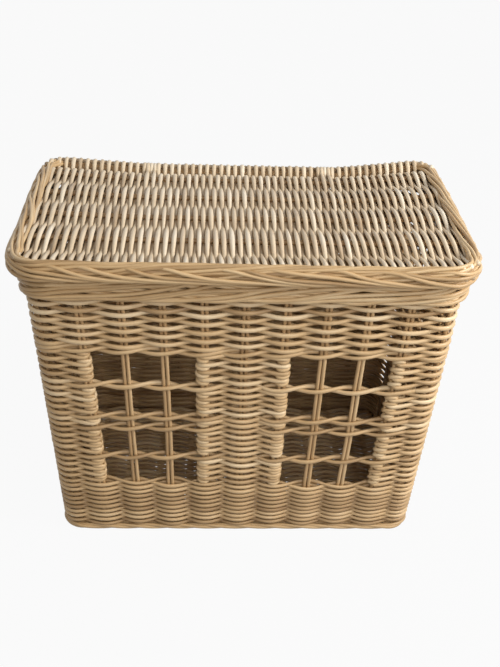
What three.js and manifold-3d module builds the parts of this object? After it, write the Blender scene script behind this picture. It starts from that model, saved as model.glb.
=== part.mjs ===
// Rattan storage box with two barred windows and a hinged, woven lid.
// Millimetres, +Z up, front towards -Y, origin on the floor under the middle of the box.

import * as THREE from 'three';
import { mergeVertices } from 'three/addons/utils/BufferGeometryUtils.js';
import Module from 'manifold-3d';

const wasm = await Module();
wasm.setup();

// Strands
const REED = 3.8;
const PAIR_PRESS = 0.15;
const CLEARANCE = 0.3;

// Weave: how high a row stands, and how far a weaver draws back where it passes behind a stake
const WEAVE_ROW = 3.9;
const WEAVE_RELIEF = 2.5;

// Body, measured over the outside of the woven wall
const TOP_WIDTH = 412;
const TOP_DEPTH = 248;
const TOP_CORNER = 28;
const FOOT_WIDTH = 374;
const FOOT_DEPTH = 225;
const FOOT_CORNER = 26;
const BODY_HEIGHT = 303;
const FOOT_RIM_HEIGHT = 6;
const FOOT_RIM_ROUND = 2.5;

// Border along the top of the wall
const RIM_HEIGHT = 22;
const RIM_FLARE = 7;
const RIM_LIP = 2;
const RIM_ROUND = 5;

// Stakes
const FRONT_STAKES_EACH_SIDE = 4;
const SIDE_STAKES_EACH_SIDE = 2;
const STAKE_CORNER_GAP = 23;
const CORNER_STAKE_ANGLE = THREE.MathUtils.degToRad(48);

// Windows, counted in front stakes from the middle
const WINDOW_INNER_STAKE = 1;
const WINDOW_OUTER_STAKE = 4;
const WINDOW_SILL = 65;
const WINDOW_HEIGHT = 157;
const JAMB_COVER = 3;
const LOW_CROSSBAR_HEIGHT = 33;
const MIDDLE_CROSSBAR_HEIGHT = 69;
const SECOND_MIDDLE_CROSSBAR_HEIGHT = 82;
const HIGH_CROSSBAR_HEIGHT = 119;

// Lid
const LID_OVERHANG = 7;
const LID_SEAT = 11;
const LID_CORNER = 32;
const LID_BORDER_HEIGHT = 22;
const LID_BORDER_ROUND = 6;
const LID_BORDER_SKIN = 3.8;
const LID_FRAME_ROD = 8;
const LID_PANEL_RAISE = 2;
const LID_STAKES_EACH_SIDE = 2;
const LID_STAKE_SPACING = 56;
const LID_STAKE_SETBACK = 17;
const LID_WEAVER_PITCH = 3.88;

// Cane loops that hinge the lid, each set between two back stakes
const HINGE_TURNS = 3;
const HINGE_BAY = 2;
const HINGE_SLOT_CLEARANCE = 1.5;

// Fineness of the round stretches
const CORNER_STEPS = 5;
const ROUND_STEPS = 2;
const REED_STEPS = 3;
const ROD_SIDES = 8;
const STRAND_SIDES = 6;
const STRAND_STEPS_PER_STAKE = 3;
const LOOP_STEPS = 8;

// Sizes that follow from those above
const WEAVE_THICKNESS = 3 * REED;
const PAIR_RADIUS = REED / 2 + PAIR_PRESS;
const PAIR_HALF = REED / 2 + PAIR_RADIUS;
const WALL_MIDDLE = WEAVE_THICKNESS / 2;
const RIM_BOTTOM = BODY_HEIGHT - RIM_HEIGHT;
const RIM_SECTION = RIM_FLARE + WEAVE_THICKNESS + RIM_LIP;
const WALL_FOOT = FOOT_RIM_HEIGHT + CLEARANCE;
const STAKE_TIP = RIM_BOTTOM + RIM_HEIGHT / 2;
const WINDOW_HEAD = WINDOW_SILL + WINDOW_HEIGHT;
const JAMB_HALF = PAIR_HALF + CLEARANCE + JAMB_COVER;
const CROSSBARS_ABOVE_SILL = [
  LOW_CROSSBAR_HEIGHT,
  MIDDLE_CROSSBAR_HEIGHT,
  SECOND_MIDDLE_CROSSBAR_HEIGHT,
  HIGH_CROSSBAR_HEIGHT,
];
const LID_BORDER_WIDTH = LID_OVERHANG + LID_SEAT;
const LID_HALF_WIDTH = TOP_WIDTH / 2 + RIM_FLARE + LID_OVERHANG;
const LID_HALF_DEPTH = TOP_DEPTH / 2 + RIM_FLARE + LID_OVERHANG;
const LID_BOTTOM = BODY_HEIGHT + CLEARANCE;
const LID_MIDDLE = LID_BOTTOM + LID_BORDER_HEIGHT / 2;
const LID_PANEL_MIDDLE = LID_MIDDLE + LID_PANEL_RAISE;
const LID_PANEL_INSET = LID_BORDER_WIDTH + CLEARANCE;

const UP = new THREE.Vector3(0, 0, 1);
const ALONG = new THREE.Vector3(1, 0, 0);
const BACK = new THREE.Vector3(0, 1, 0);

// Solids and meshes

function toSolid(geometry) {
  geometry.deleteAttribute('normal');
  geometry.deleteAttribute('uv');
  const merged = mergeVertices(geometry, 1e-4);
  const vertProperties = new Float32Array(merged.attributes.position.array);
  const triVerts = new Uint32Array(merged.index.array);
  return new wasm.Manifold(new wasm.Mesh({ numProp: 3, vertProperties, triVerts }));
}

function toGeometry(solid) {
  const mesh = solid.getMesh();
  const geometry = new THREE.BufferGeometry();
  geometry.setAttribute('position', new THREE.BufferAttribute(mesh.vertProperties, 3));
  geometry.setIndex(new THREE.BufferAttribute(mesh.triVerts, 1));
  const faceted = geometry.toNonIndexed();
  faceted.computeVertexNormals();
  return faceted;
}

// Two triangles that fill the cell a, b, c, d. They meet along its deeper diagonal.
function fillCell(triangles, cell, depthOf) {
  const [a, b, c, d] = cell;
  if (depthOf(b) + depthOf(d) > depthOf(a) + depthOf(c)) {
    triangles.push(a, b, d, b, c, d);
  } else {
    triangles.push(a, b, c, a, c, d);
  }
}

// A solid through a row of rings, each ring counter-clockwise seen against the direction of travel.
// The section is one ring drawn flat, which says how the two ends close.
function loft(rings, section, depthOf = () => 0) {
  const count = section.length;
  const last = (rings.length - 1) * count;
  const triangles = [];
  for (let step = 0; step < rings.length - 1; step += 1) {
    for (let i = 0; i < count; i += 1) {
      const next = (i + 1) % count;
      const here = step * count;
      const there = here + count;
      fillCell(triangles, [here + i, here + next, there + next, there + i], depthOf);
    }
  }
  for (const [a, b, c] of THREE.ShapeUtils.triangulateShape(section, [])) {
    triangles.push(c, b, a);
    triangles.push(last + a, last + b, last + c);
  }
  const geometry = new THREE.BufferGeometry().setFromPoints(rings.flat());
  geometry.setIndex(triangles);
  return toSolid(geometry);
}

// How round a corner stays on a line drawn inside it.
function cornerInside(corner, inset) {
  return Math.max(corner - inset, CLEARANCE);
}

// A rounded rectangle, counter-clockwise from its right-hand side.
function roundedOutline(halfX, halfY, radius, steps) {
  const points = [];
  for (let corner = 0; corner < 4; corner += 1) {
    const signX = corner === 0 || corner === 3 ? 1 : -1;
    const signY = corner < 2 ? 1 : -1;
    for (let step = 0; step <= steps; step += 1) {
      const angle = (corner + step / steps) * Math.PI / 2;
      const x = signX * (halfX - radius) + radius * Math.cos(angle);
      const y = signY * (halfY - radius) + radius * Math.sin(angle);
      points.push(new THREE.Vector2(x, y));
    }
  }
  return points;
}

function atHeight(outline, z) {
  return outline.map((point) => new THREE.Vector3(point.x, point.y, z));
}

// A closed hoop: every point of the section, given as inset and height, goes once round the outline.
function hoop(section, outlineAt) {
  const loops = section.map((point) => atHeight(outlineAt(point.x), point.y));
  const around = loops[0].length;
  const triangles = [];
  loops.forEach((loop, j) => {
    const here = j * around;
    const there = ((j + 1) % loops.length) * around;
    for (let i = 0; i < around; i += 1) {
      const next = (i + 1) % around;
      triangles.push(here + i, there + next, here + next);
      triangles.push(here + i, there + i, there + next);
    }
  });
  const geometry = new THREE.BufferGeometry().setFromPoints(loops.flat());
  geometry.setIndex(triangles);
  return toSolid(geometry);
}

function hoopSection(insetFrom, insetTo, zFrom, zTo, round) {
  const middle = new THREE.Vector2((insetFrom + insetTo) / 2, (zFrom + zTo) / 2);
  const halfWidth = (insetTo - insetFrom) / 2;
  const halfHeight = (zTo - zFrom) / 2;
  const fillet = Math.min(round, halfWidth - CLEARANCE, halfHeight - CLEARANCE);
  return roundedOutline(halfWidth, halfHeight, fillet, ROUND_STEPS).map((point) => point.add(middle));
}

function box(xFrom, xTo, yFrom, yTo, zFrom, zTo) {
  const geometry = new THREE.BoxGeometry(xTo - xFrom, yTo - yFrom, zTo - zFrom);
  geometry.translate((xFrom + xTo) / 2, (yFrom + yTo) / 2, (zFrom + zTo) / 2);
  return toSolid(geometry);
}

// The tapering wall

function tapered(foot, top, z) {
  return foot + (top - foot) * z / RIM_BOTTOM;
}

function wallSize(z) {
  return {
    halfX: tapered(FOOT_WIDTH, TOP_WIDTH, z) / 2,
    halfY: tapered(FOOT_DEPTH, TOP_DEPTH, z) / 2,
    corner: tapered(FOOT_CORNER, TOP_CORNER, z),
  };
}

function wallOutline(z, inset) {
  const { halfX, halfY, corner } = wallSize(z);
  return roundedOutline(halfX - inset, halfY - inset, cornerInside(corner, inset), CORNER_STEPS);
}

function wallFilling(zFrom, zTo, inset) {
  const rings = [zFrom, zTo].map((z) => atHeight(wallOutline(z, inset), z));
  return loft(rings, wallOutline(zFrom, inset));
}

// Stakes: each is a pair of reeds, pressed together a little so that the pair is one piece

function pairSection(radius) {
  const reach = Math.acos(REED / 2 / radius);
  const points = [];
  for (const side of [1, -1]) {
    const middle = side * REED / 2;
    const start = side > 0 ? reach - Math.PI : reach;
    const sweep = 2 * (Math.PI - reach);
    for (let step = 0; step < REED_STEPS + 1; step += 1) {
      const angle = start + sweep * step / (REED_STEPS + 1);
      points.push(new THREE.Vector2(middle + radius * Math.cos(angle), radius * Math.sin(angle)));
    }
  }
  return points;
}

function pairRing(section, place, sideways, outward) {
  return section.map((point) => place.clone()
    .addScaledVector(sideways, point.x)
    .addScaledVector(outward, point.y));
}

// Where a front or back stake stands at height z, counted from the middle of its wall.
function frontStakePlace(number, facing) {
  return (z) => {
    const { halfX, halfY, corner } = wallSize(z);
    const pitch = (halfX - corner - STAKE_CORNER_GAP) / FRONT_STAKES_EACH_SIDE;
    return new THREE.Vector3(number * pitch, facing * (halfY - WALL_MIDDLE), z);
  };
}

function sideStakePlace(number, facing) {
  return (z) => {
    const { halfX, halfY, corner } = wallSize(z);
    const pitch = (halfY - corner - STAKE_CORNER_GAP) / SIDE_STAKES_EACH_SIDE;
    return new THREE.Vector3(facing * (halfX - WALL_MIDDLE), number * pitch, z);
  };
}

// A place on a rounded corner, with the angle counted from the front or the back towards the side.
function cornerPlace(sideX, sideY, angle) {
  return (z) => {
    const { halfX, halfY, corner } = wallSize(z);
    const reach = corner - WALL_MIDDLE;
    const x = sideX * (halfX - corner + reach * Math.sin(angle));
    const y = sideY * (halfY - corner + reach * Math.cos(angle));
    return new THREE.Vector3(x, y, z);
  };
}

function cornerOutward(sideX, sideY, angle) {
  return new THREE.Vector3(sideX * Math.sin(angle), sideY * Math.cos(angle), 0);
}

function stakeSolid(stake, radius, zFrom, zTo) {
  const section = pairSection(radius);
  const sideways = new THREE.Vector3().crossVectors(stake.outward, UP);
  const rings = [zFrom, zTo].map((z) => pairRing(section, stake.place(z), sideways, stake.outward));
  return loft(rings, section);
}

function listStakes() {
  const stakes = [];
  for (const [wall, facing] of [['front', -1], ['back', 1]]) {
    for (let k = -FRONT_STAKES_EACH_SIDE; k <= FRONT_STAKES_EACH_SIDE; k += 1) {
      stakes.push({
        name: `${wall}_stake_${k + FRONT_STAKES_EACH_SIDE + 1}`,
        place: frontStakePlace(k, facing),
        outward: new THREE.Vector3(0, facing, 0),
      });
    }
  }
  for (const [wall, facing] of [['left', -1], ['right', 1]]) {
    for (let k = -SIDE_STAKES_EACH_SIDE; k <= SIDE_STAKES_EACH_SIDE; k += 1) {
      stakes.push({
        name: `${wall}_stake_${k + SIDE_STAKES_EACH_SIDE + 1}`,
        place: sideStakePlace(k, facing),
        outward: new THREE.Vector3(facing, 0, 0),
      });
    }
  }
  for (const [depthName, sideY] of [['front', -1], ['back', 1]]) {
    for (const [widthName, sideX] of [['left', -1], ['right', 1]]) {
      stakes.push({
        name: `corner_stake_${depthName}_${widthName}`,
        place: cornerPlace(sideX, sideY, CORNER_STAKE_ANGLE),
        outward: cornerOutward(sideX, sideY, CORNER_STAKE_ANGLE),
      });
    }
  }
  return stakes;
}

const stakes = listStakes();
const stakeChannels = stakes.map((stake) => (
  stakeSolid(stake, PAIR_RADIUS + CLEARANCE, FOOT_RIM_HEIGHT, STAKE_TIP + CLEARANCE)));

function clearOfStakes(solid) {
  return stakeChannels.reduce((left, channel) => left.subtract(channel), solid);
}

// The woven wall

// A row of weave, counter-clockwise from the front of the right wall: the stakes by number,
// and on each corner two places halfway between stakes.
function weaveStations() {
  const stations = [];
  let number = 0;
  const addStake = (place, outward) => {
    stations.push({ place, outward, number });
    number += 1;
  };
  const addCorner = (sideX, sideY, towardsSide) => {
    const nearEnd = CORNER_STAKE_ANGLE / 2;
    const nearSide = (CORNER_STAKE_ANGLE + Math.PI / 2) / 2;
    const halfways = towardsSide ? [nearEnd, nearSide] : [nearSide, nearEnd];
    const [before, after] = halfways.map((angle) => ({
      place: cornerPlace(sideX, sideY, angle),
      outward: cornerOutward(sideX, sideY, angle),
      number: null,
    }));
    stations.push(before);
    addStake(
      cornerPlace(sideX, sideY, CORNER_STAKE_ANGLE), cornerOutward(sideX, sideY, CORNER_STAKE_ANGLE));
    stations.push(after);
  };
  for (const facing of [1, -1]) {
    for (let k = -SIDE_STAKES_EACH_SIDE; k <= SIDE_STAKES_EACH_SIDE; k += 1) {
      addStake(sideStakePlace(facing * k, facing), new THREE.Vector3(facing, 0, 0));
    }
    addCorner(facing, facing, false);
    for (let k = FRONT_STAKES_EACH_SIDE; k >= -FRONT_STAKES_EACH_SIDE; k -= 1) {
      addStake(frontStakePlace(facing * k, facing), new THREE.Vector3(0, facing, 0));
    }
    addCorner(-facing, facing, true);
  }
  return stations;
}

const stations = weaveStations();

// A weaver stands out in front of one stake and draws back behind the next.
function weaveDepth(station, row) {
  return station.number === null ? WEAVE_RELIEF / 2 : WEAVE_RELIEF * ((station.number + row) % 2);
}

// The outside of the wall between two heights, as an even number of woven rows.
function wovenFilling(zFrom, zTo) {
  const rows = 2 * Math.max(1, Math.round((zTo - zFrom) / WEAVE_ROW / 2));
  const rings = [];
  for (let row = 0; row <= rows; row += 1) {
    const z = zFrom + (zTo - zFrom) * row / rows;
    rings.push(stations.map((station) => station.place(z)
      .addScaledVector(station.outward, WALL_MIDDLE - weaveDepth(station, row))));
  }
  const section = rings[0].map((point) => new THREE.Vector2(point.x, point.y));
  const depthOf = (index) => weaveDepth(
    stations[index % stations.length], Math.floor(index / stations.length));
  return loft(rings, section, depthOf);
}

function wallRing(zFrom, zTo) {
  const hollow = wallFilling(zFrom - REED, zTo + REED, WEAVE_THICKNESS);
  return wovenFilling(zFrom, zTo).subtract(hollow);
}

// Hinge: the lid turns about the rod in its back border, held in two cane loops

const rodRoom = LID_FRAME_ROD / 2 + CLEARANCE;
const rodInset = LID_BORDER_SKIN + rodRoom;
const throatHalf = Math.max(rodRoom, LID_PANEL_RAISE + PAIR_RADIUS + CLEARANCE);
const hingeAxis = new THREE.Vector2(LID_HALF_DEPTH - rodInset, LID_MIDDLE);
const rimMiddle = new THREE.Vector2(
  TOP_DEPTH / 2 + RIM_FLARE - RIM_SECTION / 2, RIM_BOTTOM + RIM_HEIGHT / 2);
const rimRoom = CLEARANCE + RIM_ROUND
  + Math.hypot(RIM_SECTION / 2 - RIM_ROUND, RIM_HEIGHT / 2 - RIM_ROUND);

const LOOP_WIDTH = HINGE_TURNS * REED;
const HINGE_X = frontStakePlace(HINGE_BAY + 0.5, 1)(RIM_BOTTOM).x;
const loopRise = hingeAxis.clone().sub(rimMiddle);
const loopLean = loopRise.angle();
const loopSpread = Math.acos((rimRoom - rodRoom) / loopRise.length());

// A stretched ring round the rod above and the body border below, drawn in depth and height.
function loopOutline(grow) {
  const path = new THREE.Path();
  path.absarc(hingeAxis.x, hingeAxis.y, rodRoom + grow, loopLean - loopSpread, loopLean + loopSpread);
  path.absarc(
    rimMiddle.x, rimMiddle.y, rimRoom + grow, loopLean + loopSpread, loopLean - loopSpread + 2 * Math.PI);
  return path.getPoints(LOOP_STEPS);
}

function alongWidth(shape, width, x) {
  const geometry = new THREE.ExtrudeGeometry(shape, {
    depth: width, bevelEnabled: false, curveSegments: LOOP_STEPS,
  });
  geometry.applyMatrix4(new THREE.Matrix4().makeBasis(BACK, UP, ALONG));
  geometry.translate(x - width / 2, 0, 0);
  return toSolid(geometry);
}

function hingeLoop(x) {
  const shape = new THREE.Shape(loopOutline(REED));
  shape.holes.push(new THREE.Path(loopOutline(0)));
  return alongWidth(shape, LOOP_WIDTH, x);
}

function loopRoom(x) {
  return alongWidth(new THREE.Shape(loopOutline(REED + CLEARANCE)), LOOP_WIDTH + 2 * CLEARANCE, x);
}

// How far forward of the rod a loop reaches where it passes the underside of the lid panel.
function loopForwardReach() {
  const facing = loopLean + loopSpread;
  const drop = LID_PANEL_MIDDLE - WEAVE_THICKNESS / 2 - hingeAxis.y;
  return (drop * Math.sin(facing) - rodRoom - REED) / Math.cos(facing);
}

const slotWidth = LOOP_WIDTH + 2 * HINGE_SLOT_CLEARANCE;
const grooveRadius = rodRoom + REED + HINGE_SLOT_CLEARANCE;

// Room in the lid border for a loop: round the rod, and open below and behind so that the lid can turn.
function borderOpening(x) {
  const front = hingeAxis.x - LID_BORDER_WIDTH;
  const behind = LID_HALF_DEPTH + REED;
  const round = new THREE.Shape();
  round.absarc(hingeAxis.x, hingeAxis.y, grooveRadius, 0, 2 * Math.PI);
  const from = x - slotWidth / 2;
  const to = x + slotWidth / 2;
  return alongWidth(round, slotWidth, x)
    .add(box(from, to, front, behind, LID_BOTTOM - REED, hingeAxis.y))
    .add(box(from, to, hingeAxis.x, behind, LID_BOTTOM - REED, hingeAxis.y + grooveRadius));
}

// Windows

function jambLine(number) {
  return (z) => frontStakePlace(number, -1)(z).x;
}

// A slanting slice of the front wall between two lines that follow the stakes.
function frontSlice(zFrom, zTo, leftAt, rightAt) {
  const rings = [zFrom, zTo].map((z) => {
    const { halfY } = wallSize(z);
    const front = -halfY - REED;
    const inside = -halfY + WEAVE_THICKNESS + REED;
    return [
      new THREE.Vector3(leftAt(z), front, z),
      new THREE.Vector3(rightAt(z), front, z),
      new THREE.Vector3(rightAt(z), inside, z),
      new THREE.Vector3(leftAt(z), inside, z),
    ];
  });
  return loft(rings, rings[0].map((point) => new THREE.Vector2(point.x, point.y)));
}

function windowGap(side) {
  const inner = jambLine(side * WINDOW_INNER_STAKE);
  const outer = jambLine(side * WINDOW_OUTER_STAKE);
  return {
    from: (z) => Math.min(inner(z), outer(z)) + JAMB_HALF,
    to: (z) => Math.max(inner(z), outer(z)) - JAMB_HALF,
  };
}

const leftWindow = windowGap(-1);
const rightWindow = windowGap(1);

// One crossbar: two strands that change places between neighbouring bars, one in front and one behind.
function crossbarSolid(side, z) {
  const gap = side < 0 ? leftWindow : rightWindow;
  const from = gap.from(z) + CLEARANCE;
  const to = gap.to(z) - CLEARANCE;
  const pitch = jambLine(1)(z);
  const middleY = frontStakePlace(0, -1)(z).y;
  const swing = PAIR_RADIUS + 2 * CLEARANCE + REED / 2;
  const rise = REED / 2 - CLEARANCE;
  const section = [];
  for (let i = 0; i < STRAND_SIDES; i += 1) {
    const angle = i / STRAND_SIDES * 2 * Math.PI;
    section.push(new THREE.Vector2(REED / 2 * Math.cos(angle), REED / 2 * Math.sin(angle)));
  }
  const steps = STRAND_STEPS_PER_STAKE * (WINDOW_OUTER_STAKE - WINDOW_INNER_STAKE);
  const strands = [0, Math.PI].map((lead) => {
    const rings = [];
    for (let step = 0; step <= steps; step += 1) {
      const x = from + (to - from) * step / steps;
      const turn = lead + Math.PI * x / pitch;
      const y = middleY + swing * Math.cos(turn);
      const height = z + rise * Math.sin(turn);
      rings.push(section.map((point) => new THREE.Vector3(x, y + point.x, height + point.y)));
    }
    return loft(rings, section);
  });
  return strands[0].add(strands[1]);
}

// Lid

function lidOutline(inset) {
  return roundedOutline(
    LID_HALF_WIDTH - inset, LID_HALF_DEPTH - inset, cornerInside(LID_CORNER, inset), CORNER_STEPS);
}

// The stakes lie nearer the hinge than the front edge.
function lidStakePlace(number) {
  return LID_STAKE_SETBACK + number * LID_STAKE_SPACING;
}

function lidStakeSolid(number, radius, reach) {
  const section = pairSection(radius);
  const rings = [-1, 1].map((side) => {
    const place = new THREE.Vector3(side * reach, lidStakePlace(number), LID_PANEL_MIDDLE);
    return pairRing(section, place, BACK, UP);
  });
  return loft(rings, section);
}

function lidStakeNumbers() {
  const numbers = [];
  for (let k = 0; k < 2 * LID_STAKES_EACH_SIDE; k += 1) {
    numbers.push(k - LID_STAKES_EACH_SIDE + 0.5);
  }
  return numbers;
}

// A woven sheet over the lid's opening: weavers from front to back, over and under the lid's stakes in turn.
// Its lines run along the stakes and halfway between them, where neighbouring weavers lie level.
function wovenSheet(bottom, top) {
  const halfX = LID_HALF_WIDTH - LID_PANEL_INSET;
  const halfY = LID_HALF_DEPTH - LID_PANEL_INSET;
  const weavers = Math.max(1, Math.round(2 * halfX / LID_WEAVER_PITCH));
  const columns = [-halfX];
  for (let weaver = 0; weaver < weavers; weaver += 1) {
    columns.push(2 * halfX * (weaver + 0.5) / weavers - halfX);
  }
  columns.push(halfX);
  const lines = [-halfY];
  for (const number of lidStakeNumbers()) {
    if (lines.length > 1) {
      lines.push(lidStakePlace(number - 0.5));
    }
    lines.push(lidStakePlace(number));
  }
  lines.push(halfY);
  const depthAt = (i, j) => {
    const overStake = j % 2 === 1 && (i + (j + 1) / 2) % 2 === 0;
    const atEdge = i === 0 || i === columns.length - 1;
    return overStake && !atEdge ? 0 : WEAVE_RELIEF;
  };
  const points = [];
  for (const level of ['low', 'high']) {
    lines.forEach((y, j) => columns.forEach((x, i) => {
      points.push(new THREE.Vector3(x, y, level === 'low' ? bottom : top - depthAt(i, j)));
    }));
  }
  const across = columns.length;
  const upper = across * lines.length;
  const depthOf = (index) => depthAt(index % across, Math.floor((index % upper) / across));
  const triangles = [];
  for (let j = 0; j < lines.length - 1; j += 1) {
    for (let i = 0; i < across - 1; i += 1) {
      const corner = j * across + i;
      const cell = [corner, corner + 1, corner + across + 1, corner + across];
      fillCell(triangles, cell.map((index) => index + upper), depthOf);
      fillCell(triangles, [...cell].reverse(), depthOf);
    }
  }
  const rim = [];
  for (let i = 0; i < across - 1; i += 1) {
    rim.push(i);
  }
  for (let j = 0; j < lines.length - 1; j += 1) {
    rim.push(j * across + across - 1);
  }
  for (let i = across - 1; i > 0; i -= 1) {
    rim.push(upper - across + i);
  }
  for (let j = lines.length - 1; j > 0; j -= 1) {
    rim.push(j * across);
  }
  rim.forEach((here, k) => {
    const next = rim[(k + 1) % rim.length];
    triangles.push(here, next, next + upper, here, next + upper, here + upper);
  });
  const geometry = new THREE.BufferGeometry().setFromPoints(points);
  geometry.setIndex(triangles);
  return toSolid(geometry);
}

function lidWeave() {
  const bottom = LID_PANEL_MIDDLE - WEAVE_THICKNESS / 2;
  const top = LID_PANEL_MIDDLE + WEAVE_THICKNESS / 2;
  const outline = lidOutline(LID_PANEL_INSET);
  const plain = loft([atHeight(outline, bottom), atHeight(outline, top + REED)], outline);
  let panel = wovenSheet(bottom - REED, top).intersect(plain);
  for (const number of lidStakeNumbers()) {
    panel = panel.subtract(lidStakeSolid(number, PAIR_RADIUS + CLEARANCE, LID_HALF_WIDTH));
  }
  const slotFront = hingeAxis.x - loopForwardReach() - HINGE_SLOT_CLEARANCE;
  for (const x of [-HINGE_X, HINGE_X]) {
    const from = x - slotWidth / 2;
    const to = x + slotWidth / 2;
    panel = panel.subtract(box(from, to, slotFront, LID_HALF_DEPTH, bottom - REED, top + REED));
  }
  return panel;
}

function lidBorder() {
  const whole = hoop(
    hoopSection(0, LID_BORDER_WIDTH, LID_BOTTOM, LID_BOTTOM + LID_BORDER_HEIGHT, LID_BORDER_ROUND),
    lidOutline);
  const throat = hoop([
    new THREE.Vector2(LID_PANEL_INSET, LID_MIDDLE - throatHalf),
    new THREE.Vector2(LID_PANEL_INSET, LID_MIDDLE + throatHalf),
    new THREE.Vector2(LID_BORDER_SKIN, LID_MIDDLE + throatHalf),
    new THREE.Vector2(LID_BORDER_SKIN, LID_MIDDLE - throatHalf),
  ], lidOutline);
  return whole.subtract(throat).subtract(borderOpening(-HINGE_X)).subtract(borderOpening(HINGE_X));
}

function lidFrame() {
  const section = [];
  for (let i = 0; i < ROD_SIDES; i += 1) {
    const angle = (i + 0.5) / ROD_SIDES * 2 * Math.PI;
    section.push(new THREE.Vector2(
      rodInset + LID_FRAME_ROD / 2 * Math.cos(angle),
      LID_MIDDLE + LID_FRAME_ROD / 2 * Math.sin(angle)));
  }
  return hoop(section, lidOutline);
}

// Body pieces

function lowerBand() {
  return clearOfStakes(wallRing(WALL_FOOT, WINDOW_SILL));
}

function upperBand() {
  const ring = clearOfStakes(wallRing(WINDOW_HEAD, RIM_BOTTOM - CLEARANCE));
  return ring.subtract(loopRoom(-HINGE_X)).subtract(loopRoom(HINGE_X));
}

function windowBand() {
  return clearOfStakes(wallRing(WINDOW_SILL + CLEARANCE, WINDOW_HEAD - CLEARANCE));
}

function windowSurround() {
  return windowBand().subtract(frontSlice(WINDOW_SILL, WINDOW_HEAD, leftWindow.from, rightWindow.to));
}

function windowPier() {
  return windowBand().intersect(frontSlice(WINDOW_SILL, WINDOW_HEAD, leftWindow.to, rightWindow.from));
}

function rimBorder() {
  const outlineAt = (inset) => roundedOutline(
    TOP_WIDTH / 2 + RIM_FLARE - inset,
    TOP_DEPTH / 2 + RIM_FLARE - inset,
    cornerInside(TOP_CORNER + RIM_FLARE, inset),
    CORNER_STEPS);
  return clearOfStakes(hoop(hoopSection(0, RIM_SECTION, RIM_BOTTOM, BODY_HEIGHT, RIM_ROUND), outlineAt));
}

function footRim() {
  const outlineAt = (inset) => wallOutline(0, inset);
  return hoop(hoopSection(0, WEAVE_THICKNESS, 0, FOOT_RIM_HEIGHT, FOOT_RIM_ROUND), outlineAt);
}

function floorWeave() {
  return wallFilling(WALL_FOOT, WALL_FOOT + WEAVE_THICKNESS, WEAVE_THICKNESS + CLEARANCE);
}

// Materials and the scene graph

function rattan(colour, roughness) {
  return new THREE.MeshStandardMaterial({ color: colour, roughness, metalness: 0 });
}

const WEAVE_COLOUR = '#c39a63';
const LID_COLOUR = '#d9bd8e';
const STAKE_COLOUR = '#a87b48';
const BORDER_COLOUR = '#cda66c';
const CANE_COLOUR = '#b98d55';
const WEAVE_ROUGHNESS = 0.62;
const REED_ROUGHNESS = 0.55;

const storageBox = new THREE.Group();
const body = new THREE.Group();
const lid = new THREE.Group();
storageBox.add(body, lid);

function add(group, name, solid, colour, roughness) {
  const mesh = new THREE.Mesh(toGeometry(solid), rattan(colour, roughness));
  mesh.name = name;
  group.add(mesh);
}

add(body, 'foot_rim', footRim(), BORDER_COLOUR, REED_ROUGHNESS);
add(body, 'floor_weave', floorWeave(), WEAVE_COLOUR, WEAVE_ROUGHNESS);
add(body, 'lower_weave_band', lowerBand(), WEAVE_COLOUR, WEAVE_ROUGHNESS);
add(body, 'window_surround', windowSurround(), WEAVE_COLOUR, WEAVE_ROUGHNESS);
add(body, 'window_pier', windowPier(), WEAVE_COLOUR, WEAVE_ROUGHNESS);
add(body, 'upper_weave_band', upperBand(), WEAVE_COLOUR, WEAVE_ROUGHNESS);
add(body, 'rim_border', rimBorder(), BORDER_COLOUR, REED_ROUGHNESS);

for (const stake of stakes) {
  const pair = stakeSolid(stake, PAIR_RADIUS, WALL_FOOT, STAKE_TIP);
  add(body, stake.name, pair, STAKE_COLOUR, REED_ROUGHNESS);
}

for (const [sideName, side] of [['left', -1], ['right', 1]]) {
  CROSSBARS_ABOVE_SILL.forEach((height, i) => {
    const bar = crossbarSolid(side, WINDOW_SILL + height);
    add(body, `${sideName}_window_crossbar_${i + 1}`, bar, STAKE_COLOUR, REED_ROUGHNESS);
  });
  add(body, `hinge_loop_${sideName}`, hingeLoop(side * HINGE_X), CANE_COLOUR, REED_ROUGHNESS);
}

add(lid, 'lid_weave', lidWeave(), LID_COLOUR, WEAVE_ROUGHNESS);
add(lid, 'lid_border', lidBorder(), LID_COLOUR, REED_ROUGHNESS);
add(lid, 'lid_frame', lidFrame(), STAKE_COLOUR, REED_ROUGHNESS);

const lidStakeReach = LID_HALF_WIDTH - rodInset - rodRoom;
lidStakeNumbers().forEach((number, i) => {
  const stake = lidStakeSolid(number, PAIR_RADIUS, lidStakeReach);
  add(lid, `lid_stake_${i + 1}`, stake, STAKE_COLOUR, REED_ROUGHNESS);
});

export default storageBox;
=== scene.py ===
"""Rattan storage box: every strand of its weave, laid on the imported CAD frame."""

import math
from collections import namedtuple

import bpy
import numpy as np
from mathutils import Matrix, Vector


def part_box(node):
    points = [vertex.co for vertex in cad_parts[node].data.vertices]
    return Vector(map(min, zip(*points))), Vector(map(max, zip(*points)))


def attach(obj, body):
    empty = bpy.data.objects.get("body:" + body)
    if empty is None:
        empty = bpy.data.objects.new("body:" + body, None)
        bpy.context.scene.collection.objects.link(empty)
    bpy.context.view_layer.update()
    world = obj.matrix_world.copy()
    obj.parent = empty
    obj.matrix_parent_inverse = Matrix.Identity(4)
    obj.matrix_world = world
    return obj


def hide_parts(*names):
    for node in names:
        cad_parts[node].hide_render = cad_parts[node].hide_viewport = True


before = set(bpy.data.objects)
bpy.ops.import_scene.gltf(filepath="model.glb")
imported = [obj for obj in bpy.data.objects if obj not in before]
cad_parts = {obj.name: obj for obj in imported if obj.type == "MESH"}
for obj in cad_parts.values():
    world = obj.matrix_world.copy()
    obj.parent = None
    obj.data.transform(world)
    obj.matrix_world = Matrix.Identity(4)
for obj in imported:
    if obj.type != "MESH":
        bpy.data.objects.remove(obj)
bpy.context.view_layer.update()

# Sizes in millimetres, as in the CAD model
METRE = 1000.0
MILLIMETRE = 0.001
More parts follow.
